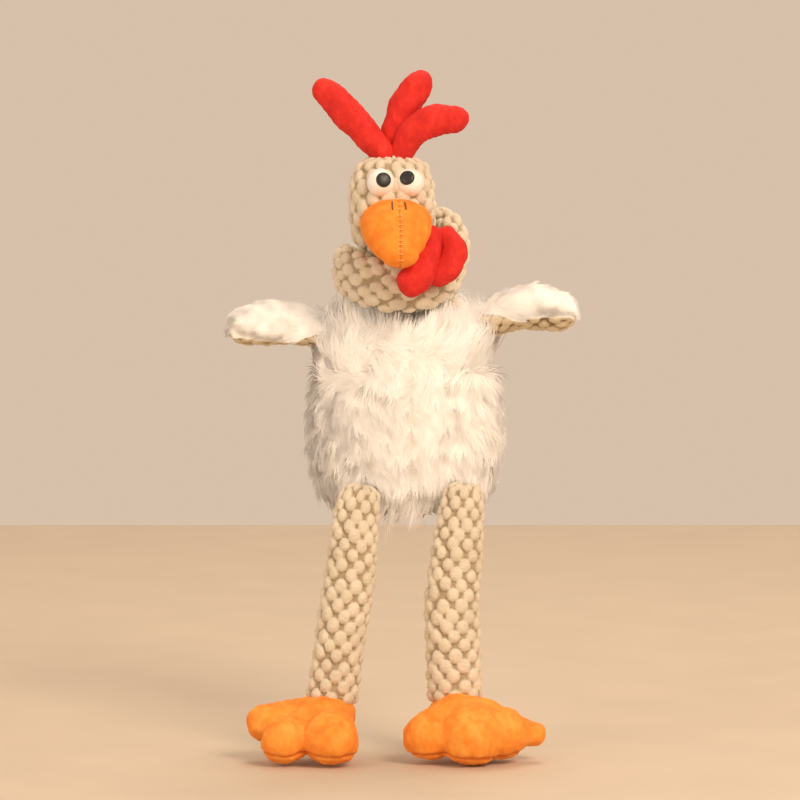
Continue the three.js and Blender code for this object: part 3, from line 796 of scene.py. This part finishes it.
def build_wing(name, side, pitch, lift, wrap):
    """A wing to one side (-1 or 1): pitch turns its chord, lift raises its tip, and wrap
    turns the seam between the fur above and the bobbles under it."""
    bobble_seed, root_seed, hair_seed = WING_SEEDS[name]
    pivot = PIVOT[name]
    stations = []
    for along, rise, turn, chord, thickness in WING_PLAN:
        at = pivot + [side * along * WING_LENGTH, -turn, rise * lift]
        across = (0, math.cos(turn * pitch), -math.sin(turn * pitch))
        stations.append((at, (chord, thickness), across))
    grid = tube(stations, 96, 0.8, start=WING_ROOT_R, end=WING_TIP, inset=WING_INSET)
    up = np.array([0, -math.sin(wrap), math.cos(wrap)])
    seam_at = stations[2][0] - WING_SEAM_DROP * UP
    above = (grid.points - seam_at) @ up
    grid.marks["furry"] = smooth(-0.8, 0.4, above)
    bobbles(grid, 8, bobble_seed, rise=1.8, share=smooth(0.4, -1.4, above))
    skin = grid.mesh(name + "_skin", WING)
    nodes = [name + part for part in ("_fur_panel", "_under_panel", "_stuffing")]
    declare(skin, 0.75, "bobble_fabric", *nodes)

    def keep(points):
        return (points - seam_at) @ up > -0.4

    rng = np.random.default_rng(root_seed)
    roots, hair_up = scatter(grid, WING_FUR_COUNT, rng, keep)
    reach = smooth(0, 46, (roots[:, 0] - pivot[0]) * side)
    comb = np.array([side * 1.0, 0, -0.3]) + (roots - pivot - [0, 0, lift]) * [0, 0.03, 0.01]
    length = WING_FUR_LENGTH - 4 * reach
    rise = 0.62 - 0.15 * reach
    lines = strands(roots, hair_up, comb, length, rise, hair_seed, swirl=0.2, ruffle=0.35)
    hair = fur_mesh(name + "_fur", lines, hair_up, 0.85)
    for piece in (skin, hair):
        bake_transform(piece)


# ---- neck, knotted
# The same route as in the CAD model, from the neck's root: point, half-widths, across.
NECK_ROUTE = [
    ((0, 0, 0), (8, 6.5), (1, 0, 0)),
    ((0, 1.5, 17.7), (10, 6), (1, 0, 0)),
    ((3, 3, 33.7), (7.5, 6.5), (1, 0, 0)),
    ((14, 2, 43.2), (7, 7.5), (0.1, 0.3, -0.95)),
    ((25.5, -6, 40.2), (9, 7), (0.3, 0, -0.95)),
    ((28.5, -20, 25.7), (11, 6), (0, 0.3, -0.95)),
    ((19, -35, 15.2), (12, 6), (0, 0, -1)),
    ((-1, -42, 11.7), (12.5, 6), (0, 0, -1)),
    ((-20, -35, 15.2), (12.5, 6), (0, 0, -1)),
    ((-29.5, -15, 19.7), (12.5, 6), (0, 0, -1)),
    ((-22, 6, 16.7), (12, 6), (0, 0, -1)),
    ((-2, 15, 11.7), (11, 6), (0, 0, -1)),
    ((17, 11, 7.2), (8, 6), (0.3, -0.2, -0.9)),
    ((25.5, -3, 2.7), (6.5, 5), (1, 0.2, -0.5)),
    ((17, -18, 1.2), (7, 4.5), (0.7, -0.7, 0)),
    ((5, -21.5, 3.8), (8, 5.5), (0, -1, 0)),
    ((-2.5, -21, 12.2), (8, 8.5), (0, -1, 0)),
    ((-3, -21, 20.7), (9, 11), (0, -1, 0)),
]


def build_neck():
    stations = [(PIVOT["neck"] + at, half, across) for at, half, across in NECK_ROUTE]
    grid = tube(stations, 84, 0.75, start=8, end=3, inset=1.5)
    neck = bobbles(grid, 6, 61, rise=2.5).mesh("neck_knot", BOBBLE)
    declare(neck, 0.7, "bobble_fabric", "neck_sleeve", "neck_stuffing")
    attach(neck, "neck")


# ---- head
HEAD_HALF_WIDTH = 22.5
HEAD_HALF_DEPTH = 18.5
HEAD_HEIGHT = 41
# From the pivot: x, y, share of the height, and shares of the half-width and half-depth.
HEAD_PLAN = [
    (0, 0, 0, 0.84, 10 / HEAD_HALF_DEPTH),
    (-1, -2, 0.24, 0.96, 0.84),
    (-1.6, -3, 0.5, 1, 1),
    (-1.8, -2.5, 0.8, 0.96, 1),
    (-1.8, -2, 1, 0.84, 0.84),
]
EYE_R = 7.3
PUPIL_R = 3.9
EYE_AT = {"left": (-7.3, -18.3, 34.5), "right": (7.7, -17.0, 34.5)}  # from the head's pivot
GAZE = {"left": (0.22, -1, 0.28), "right": (-0.28, -1, 0.47)}
# The pupil's radius and its height over its edge, ring by ring.
PUPIL_RADII = [0.4, 1.5, 2.6, 3.4, 3.75, 3.9, 3.9, 3.4]
PUPIL_RISE = [1.55, 1.5, 1.32, 1.05, 0.8, 0.45, -0.3, -0.6]


def head_grid():
    stations = []
    for x, y, rise, width, depth in HEAD_PLAN:
        at = PIVOT["head"] + [x, y, rise * HEAD_HEIGHT]
        stations.append((at, (width * HEAD_HALF_WIDTH, depth * HEAD_HALF_DEPTH)))
    return tube(stations, 150, 0.75, start=10, end=5, inset=1.6)


def build_head():
    head = bobbles(head_grid(), 13, 71, rise=2.4).mesh("head_bobbles", BOBBLE)
    declare(head, 0.8, "bobble_fabric", "head_sleeve", "head_stuffing")
    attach(head, "head")


def ball_grid(centre, gaze, radii, distances, columns=48):
    """A shape turned round the gaze: radius and distance along it for each ring."""
    gaze = unit(np.array(gaze, float))
    side = unit(np.cross(gaze, UP))
    other = np.cross(side, gaze)
    turn = turns(columns)[None, :, None]
    spin = side * np.cos(turn) + other * np.sin(turn)
    forward = gaze * np.array(distances)[:, None, None]
    points = centre + forward + spin * np.array(radii)[:, None, None]
    return Grid(points, centre + gaze * distances[0], centre + gaze * distances[-1])


def build_eye(name):
    centre = PIVOT["head"] + EYE_AT[name]
    turn = np.linspace(0.02, math.pi - 0.02, 40)
    ball = ball_grid(centre, GAZE[name], EYE_R * np.sin(turn), EYE_R * np.cos(turn))
    eye = ball.push(0.06 * wobble(ball.points, 9, 70)).mesh("eyeball_" + name, EYE_WHITE)
    edge = (EYE_R**2 - PUPIL_R**2) ** 0.5
    disc = ball_grid(centre, GAZE[name], PUPIL_RADII, [edge + r for r in PUPIL_RISE], 40)
    pupil = disc.mesh("pupil_disc_" + name, PUPIL)
    for piece, slot, node in ((eye, "eye_white", "eye_"), (pupil, "pupil_black", "pupil_")):
        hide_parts(node + name)
        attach(piece, "head")


# ---- plush pieces
def groove(distance, width):
    """1 on a line, falling to 0 at about twice the width from it."""
    return np.exp(-((distance / width) ** 2))


# x, share of the reach, share of the droop, and shares of the half-width and half-height.
BEAK_PLAN = [
    (0.3, 0.25, 0, 0.9, 0.92),
    (0.3, 0.49, 0.05, 1, 1),
    (0.6, 0.7, 0.3, 0.95, 1),
    (1.8, 0.9, 0.7, 0.74, 0.8),
    (3.0, 1, 1, 0.5, 0.58),
]
BEAK_REACH = 49
BEAK_DROOP = 17.5
BEAK_ROOT_HEIGHT = 15
BEAK_HALF_WIDTH = 18.5
BEAK_HALF_HEIGHT = 12
STITCH_HEIGHTS = (26, -8)  # of the seam's first and last stitch over the head's pivot
STITCH_COUNT = 15
STITCH_ACROSS = 1.15
STITCH_R = 0.26
NOSTRIL_X = (-1.6, 5.2)
NOSTRIL_HEIGHTS = (24.8, 21.4)
NOSTRIL_R = 0.36


def build_beak():
    root = PIVOT["head"]
    stations = []
    for x, reach, droop, width, height in BEAK_PLAN:
        at = root + [x, -reach * BEAK_REACH, BEAK_ROOT_HEIGHT - droop * BEAK_DROOP]
        stations.append((at, (width * BEAK_HALF_WIDTH, height * BEAK_HALF_HEIGHT)))
    grid = tube(stations, 128, 0.6, start=1.5, end=4)
    centre = seam_x(grid.points)
    seam = groove(grid.points[..., 0] - centre, 0.7)
    puckers = groove(grid.points[..., 0] - centre, 3.2) * np.sin(grid.along() * 2 * math.pi / 3.1)
    # The seam mark also paints shade along the beak's seam.
    grid.marks["seam"] = seam
    height = -0.3 * seam + 0.12 * puckers + 0.3 * wobble(grid.points, 13, 81)
    beak = grid.push(height).mesh("beak_plush", BEAK)
    declare(beak, 0.9, "orange_beak_plush", "beak_left_panel", "beak_right_panel", "beak_stuffing")
    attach(beak, "head")
    return grid


def seam_x(points):
    """Where the beak's seam lies across the toy: it drifts to +X towards the tip."""
    share = np.clip((PIVOT["head"][1] - points[..., 1]) / BEAK_REACH, 0, 1)
    return PIVOT["head"][0] + 0.2 + 2.6 * share


def stitch(start, end, radius, bow):
    """A short length of thread from start to end that stands off by bow."""
    middle = (start + end) / 2 + bow
    stations = [(at, (radius, radius)) for at in (start, middle, end)]
    return tube(stations, 10, 0.3, 0.2, 0.2)


def join(name, grids, look, body):
    """One piece made of several grids."""
    objects = [grid.mesh(f"{name}_{i}", look) for i, grid in enumerate(grids)]
    with bpy.context.temp_override(active_object=objects[0], selected_editable_objects=objects):
        bpy.ops.object.join()
    objects[0].name = name
    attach(objects[0], body)


def surface_at(grid, x, z):
    """The point nearest the viewer on a grid near x and z, and its normal."""
    away = np.hypot(grid.points[..., 0] - x, grid.points[..., 2] - z)
    away = away + 0.02 * (grid.points[..., 1] - grid.points[..., 1].min())
    pick = np.unravel_index(away.argmin(), away.shape)
    return grid.points[pick], grid.normals()[pick]


def build_beak_threads(grid):
    root = PIVOT["head"]
    seam = []
    for z in np.linspace(*STITCH_HEIGHTS, STITCH_COUNT):
        at, normal = surface_at(grid, root[0] + 1.0, root[2] + z)
        at = np.array([seam_x(at), at[1], at[2]])
        across = np.array([STITCH_ACROSS, 0, 0.0])
        out = normal * 0.3
        seam.append(stitch(at - across + out, at + across + out, STITCH_R, out))
    join("beak_seam_stitches", seam, PALE_THREAD, "head")
    nostrils = []
    high, low = NOSTRIL_HEIGHTS
    for x in NOSTRIL_X:
        at, normal = surface_at(grid, root[0] + x, root[2] + high)
        end, end_normal = surface_at(grid, root[0] + x + 0.5, root[2] + low)
        thread = stitch(at + normal * 0.2, end + end_normal * 0.2, NOSTRIL_R, normal * 0.5)
        nostrils.append(thread)
    join("beak_nostril_stitches", nostrils, DARK_THREAD, "head")


LOBE_COLUMNS = 56
LOBE_FLAT = 0.86  # a lobe's half-thickness as a share of its half-width


def build_lobe(name, points, radii, start, end, fill, seed):
    """A plush lobe with a seam along its two edges, on the CAD body of the same name."""
    stations = [(p, (LOBE_FLAT * r, r), (0.2, 1, 0)) for p, r in zip(points, radii)]
    grid = tube(stations, LOBE_COLUMNS, 0.6, start=start, end=end)
    turn = turns(LOBE_COLUMNS)[None] + np.zeros(grid.points.shape[:2])
    seam = groove(np.sin(turn - math.pi / 2), 0.10)
    other_seam = groove(np.sin(turn + math.pi / 2), 0.10)
    seam = np.maximum(seam * (np.cos(turn - math.pi / 2) > 0), other_seam)
    ripple = groove(np.cos(turn), 0.35) * np.sin(grid.along() * 2 * math.pi / 4.3 + seed)
    # The seam mark also paints shade along the lobe's seams.
    grid.marks["seam"] = 0.8 * seam
    height = -0.45 * seam + 0.14 * ripple + 0.35 * wobble(grid.points, 11, seed)
    lobe = grid.push(height).mesh(name + "_plush", RED)
    declare(lobe, fill, "red_plush", name + "_skin", name + "_stuffing")
    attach(lobe, name)


COMB_MEET = np.array([-6.0, -14.5, 181.0])  # where the lobes' roots run together
COMB_RADII = (6.2, 7.8, 8.6, 7.2)
# Each lobe's length, and the points of its line as shares of that length from its pivot.
COMB_PLAN = {
    "comb_left": (40, [(0, 0, 0), (-0.2, 0, 0.26), (-0.45, 0, 0.53), (-0.68, 0, 0.77)]),
    "comb_middle": (36, [(0, 0, 0), (0.06, 0.02, 0.33), (0.2, 0.03, 0.68), (0.38, 0.03, 0.96)]),
    "comb_right": (32, [(0, 0, 0), (0.17, -0.03, 0.34), (0.5, -0.05, 0.5), (0.8, -0.05, 0.52)]),
}


def build_comb():
    for i, (name, (length, line)) in enumerate(COMB_PLAN.items()):
        points = [PIVOT[name] + np.array(p) * length for p in line]
        points[0] = (points[0] + COMB_MEET) / 2
        build_lobe(name, points, COMB_RADII, 2.5, 7.5, 0.7, 90 + i)


# Each lobe's points from its pivot, its radii and its seed.
WATTLE_PLAN = {
    "wattle_front": (
        [(6, 4, 12), (3.4, 0, 0), (-2, -5.5, -10.5), (-6.5, -7, -13.5)],
        (5.5, 7.0, 8.3, 7.4),
        95,
    ),
    "wattle_rear": (
        [(3.5, 0.5, 1.5), (8.4, -2, -6.5), (5.6, -5, -15), (-0.5, -6, -20)],
        (5.5, 7.0, 7.0, 6.0),
        97,
    ),
}


def build_wattle():
    for name, (line, radii, seed) in WATTLE_PLAN.items():
        build_lobe(name, PIVOT[name] + np.array(line), radii, 4, 5, 0.7, seed)


# ---- legs and feet
LEG_RADII = [7.8, 9.3, 10.7, 11.1, 11.3, 11.5]  # from over the hip down to the foot
LEG_PAST_HIP = 0.14  # of the thigh's length
LEG_INTO_FOOT = 0.85  # of the shin's length


def build_leg(side, seed):
    hip, knee, ankle = (PIVOT[part + side] for part in ("thigh_", "shin_", "foot_"))
    low_end = knee + (ankle - knee) * LEG_INTO_FOOT
    top = hip + (hip - knee) * LEG_PAST_HIP
    line = [top, hip, (hip + knee) / 2, knee, (knee + low_end) / 2, low_end]
    stations = [(at, (radius, radius)) for at, radius in zip(line, LEG_RADII)]
    grid = tube(stations, 112, 0.7, start=3, end=2.5)
    grid.points = grid.points + (wobble3(grid.points, 60, seed) * [1.0, 0.6, 0])
    leg = bobbles(grid, 8, seed).mesh("leg_" + side, BOBBLE)
    layers = ("sleeve", "stuffing")
    nodes = [f"{part}_{side}_{layer}" for part in ("thigh", "shin") for layer in layers]
    declare(leg, 0.8, "bobble_fabric", *nodes)
    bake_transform(leg)


def soft_union(distances, blend):
    """The distance to several shapes that run into each other over the length blend."""
    total = distances[0]
    for other in distances[1:]:
        near = np.clip(0.5 + 0.5 * (other - total) / blend, 0, 1)
        total = other * (1 - near) + total * near - blend * near * (1 - near)
    return total


# From the ankle: balls and toe tips with their radii, and the height of the sole's seam.
FEET = {
    "left": {
        "centre": (-6, -13, -8),
        "balls": [((0, -1, -2), 12.0), ((-5, -13, -4), 13.5)],
        "toes": [((-34, -12, -4), 9.5), ((-24, -28, -12), 12.0), ((0, -30, -10), 14.5)],
        "seam": -17.5,
    },
    "right": {
        "centre": (4, -13, -8),
        "balls": [((0, -1, -2), 12.0), ((3, -13, -4), 15.0), ((13, -15, -7), 15.0)],
        "toes": [
            ((-14, -24, -10), 12.5),
            ((8, -28, -9), 16.5),
            ((24, -20, -9), 13.5),
            ((41, -15, -10), 6.0),
        ],
        "seam": -18.0,
    },
}
SOLE_Z = -24.0  # under the ankle pivot
TOE_ROOT = 0.1  # of the way from the ankle to a toe's tip, where the toe starts
TOE_ROOT_R = 9
FOOT_BLEND = 3.2
FOOT_COLUMNS = 200
FOOT_ROWS = 120
FOOT_FAR = 60.0  # further than any point of a foot from its centre
MARCH_STEPS = 70
MARCH_SHARE = 0.8  # of the distance left that each step moves a point in


def foot_distance(plan, points):
    """The distance from points to a foot's surface, under 0 inside it."""
    parts = [norm(points - at) - radius for at, radius in plan["balls"]]
    for tip, radius in plan["toes"]:
        tip = np.array(tip, float)
        root = TOE_ROOT * tip
        toe = tip - root
        share = np.clip(((points - root) @ toe) / (toe @ toe), 0, 1)
        nearest = root + share[..., None] * toe
        thick = TOE_ROOT_R + share * (radius - TOE_ROOT_R)
        parts.append(norm(points - nearest) - thick)
    sole = SOLE_Z - points[..., 2]
    body = soft_union(parts, FOOT_BLEND)
    return np.maximum(body, sole) + 0.6 * np.exp(-np.abs(body - sole) / 2)


def foot_surface(plan):
    """Rows and columns of points on a foot's surface, found by stepping in from far away."""
    centre = np.array(plan["centre"], float)
    polar = np.linspace(0.02, math.pi - 0.02, FOOT_ROWS)[:, None]
    turn = turns(FOOT_COLUMNS)[None]
    across = [np.sin(polar) * np.cos(turn), np.sin(polar) * np.sin(turn)]
    ray = np.stack([*across, np.cos(polar) + 0 * turn], axis=-1)
    reach = np.full((FOOT_ROWS, FOOT_COLUMNS), FOOT_FAR)
    for _ in range(MARCH_STEPS):
        left = foot_distance(plan, centre + ray * reach[..., None])
        reach = reach + np.minimum(0, -MARCH_SHARE * left)
    return centre + ray * reach[..., None]


def build_foot(side, seed):
    plan = FEET[side]
    ankle = PIVOT["foot_" + side]
    points = foot_surface(plan)
    first, last = (points[row].mean(axis=0) + ankle for row in (0, -1))
    grid = Grid(points + ankle, first, last)
    local = grid.points - ankle
    x, y, z = (local[..., axis] for axis in range(3))
    seam_level = plan["seam"] + 0.8 * wobble(local * [1, 1, 0], 22, seed)
    outer = smooth(8, 14, np.hypot(x, y))
    away = z - seam_level
    seam = groove(away, 0.8) * outer
    angle = np.arctan2(y + 8, x)
    pucker = np.sin(angle * 34) * groove(away, 3.5) * outer
    tuck = smooth(0, -6, away) * outer
    # The seam mark also paints shade along the sole's seam.
    grid.marks["seam"] = 0.9 * seam
    height = -1.0 * seam - 0.8 * tuck + 0.13 * pucker + 0.5 * wobble(local, 15, seed + 1)
    height = height + 0.25 * wobble(local, 6, seed + 2)
    foot = grid.push(height).mesh(f"foot_{side}_plush", FOOT)
    nodes = [f"foot_{side}_{layer}" for layer in ("upper_panel", "sole_panel", "stuffing")]
    declare(foot, 0.8, "orange_foot_plush", *nodes)
    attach(foot, "foot_" + side)


# ---- carried-over CAD nodes
def finish_cad_nodes():
    looks = {"squeaker_bulb": CLEAR, "squeaker_reed": REED}
    looks.update({"eye_washer_left": WASHER, "eye_washer_right": WASHER})
    for name, look in looks.items():
        data = frame["nodes"][name].data
        data.materials.clear()
        data.materials.append(look)


# ---- stage
def area_light(name, at, aim, size, power, colour):
    data = bpy.data.lights.new(name, "AREA")
    data.shape = "DISK"
    data.size = size
    data.energy = power
    data.color = colour
    light = add_object(name, data)
    light.location = at
    light.rotation_euler = (Vector(aim) - Vector(at)).to_track_quat("-Z", "Y").to_euler()


FLOOR_HALF = 1.1  # metres
FLOOR_GAP = 0.3 * MM  # under the lowest CAD point


def build_stage(floor_z):
    corners = ((-1, -1), (1, -1), (1, 1), (-1, 1))
    points = [(FLOOR_HALF * x, FLOOR_HALF * y, floor_z) for x, y in corners]
    mesh = bpy.data.meshes.new("floor")
    mesh.from_pydata(points, [], [(0, 1, 2, 3)])
    look = Look("floor_paint")
    grain = look.noise(60, 3)
    colour = look.ramp(grain, (0.3, (0.585, 0.50, 0.395)), (0.7, (0.62, 0.53, 0.42)))
    mesh.materials.append(look.finish(colour, look.spread(grain, 0.3, 0.7, 0.6, 0.7)))
    add_object("floor", mesh)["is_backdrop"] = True

    world = bpy.data.worlds.new("studio")
    bpy.context.scene.world = world
    world.use_nodes = True
    background = world.node_tree.nodes["Background"]
    background.inputs["Color"].default_value = (1.0, 0.78, 0.59, 1)
    background.inputs["Strength"].default_value = 0.68
    aim = (0, 0, 0.05)
    area_light("key", (0.9, -1.5, 1.3), aim, 0.9, 30, (1.0, 0.80, 0.62))
    area_light("fill", (-1.4, -1.3, 0.7), aim, 1.2, 9, (1.0, 0.82, 0.66))
    area_light("back", (0.2, 0.7, 1.5), aim, 0.8, 10, (1.0, 0.84, 0.70))
    bpy.context.scene.view_settings.view_transform = "Standard"


CAMERA_TARGET = Vector((-0.0026, -0.012, 0.0575))  # metres
CAMERA_DISTANCE = 2.5
CAMERA_ELEVATION = math.radians(4.5)
VIEW_WIDTH = 0.416  # seen across the picture at the toy
SENSOR = 36


def build_camera():
    data = bpy.data.cameras.new("camera")
    data.sensor_width = SENSOR
    data.lens = SENSOR * CAMERA_DISTANCE / VIEW_WIDTH
    camera = add_object("camera", data)
    back = Vector((0, -math.cos(CAMERA_ELEVATION), math.sin(CAMERA_ELEVATION)))
    camera.location = CAMERA_TARGET + back * CAMERA_DISTANCE
    camera.rotation_euler = (-back).to_track_quat("-Z", "Y").to_euler()
    bpy.context.scene.camera = camera


build_camera()
build_body()
build_wing("wing_left", side=-1, pitch=0.1, lift=4, wrap=0.22)
build_wing("wing_right", side=1, pitch=0.35, lift=8, wrap=0.06)
build_neck()
build_head()
build_eye("left")
build_eye("right")
build_beak_threads(build_beak())
build_comb()
build_wattle()
build_leg("left", 101)
build_leg("right", 103)
build_foot("left", 111)
build_foot("right", 117)
finish_cad_nodes()
build_stage(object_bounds()[0][2] - FLOOR_GAP)
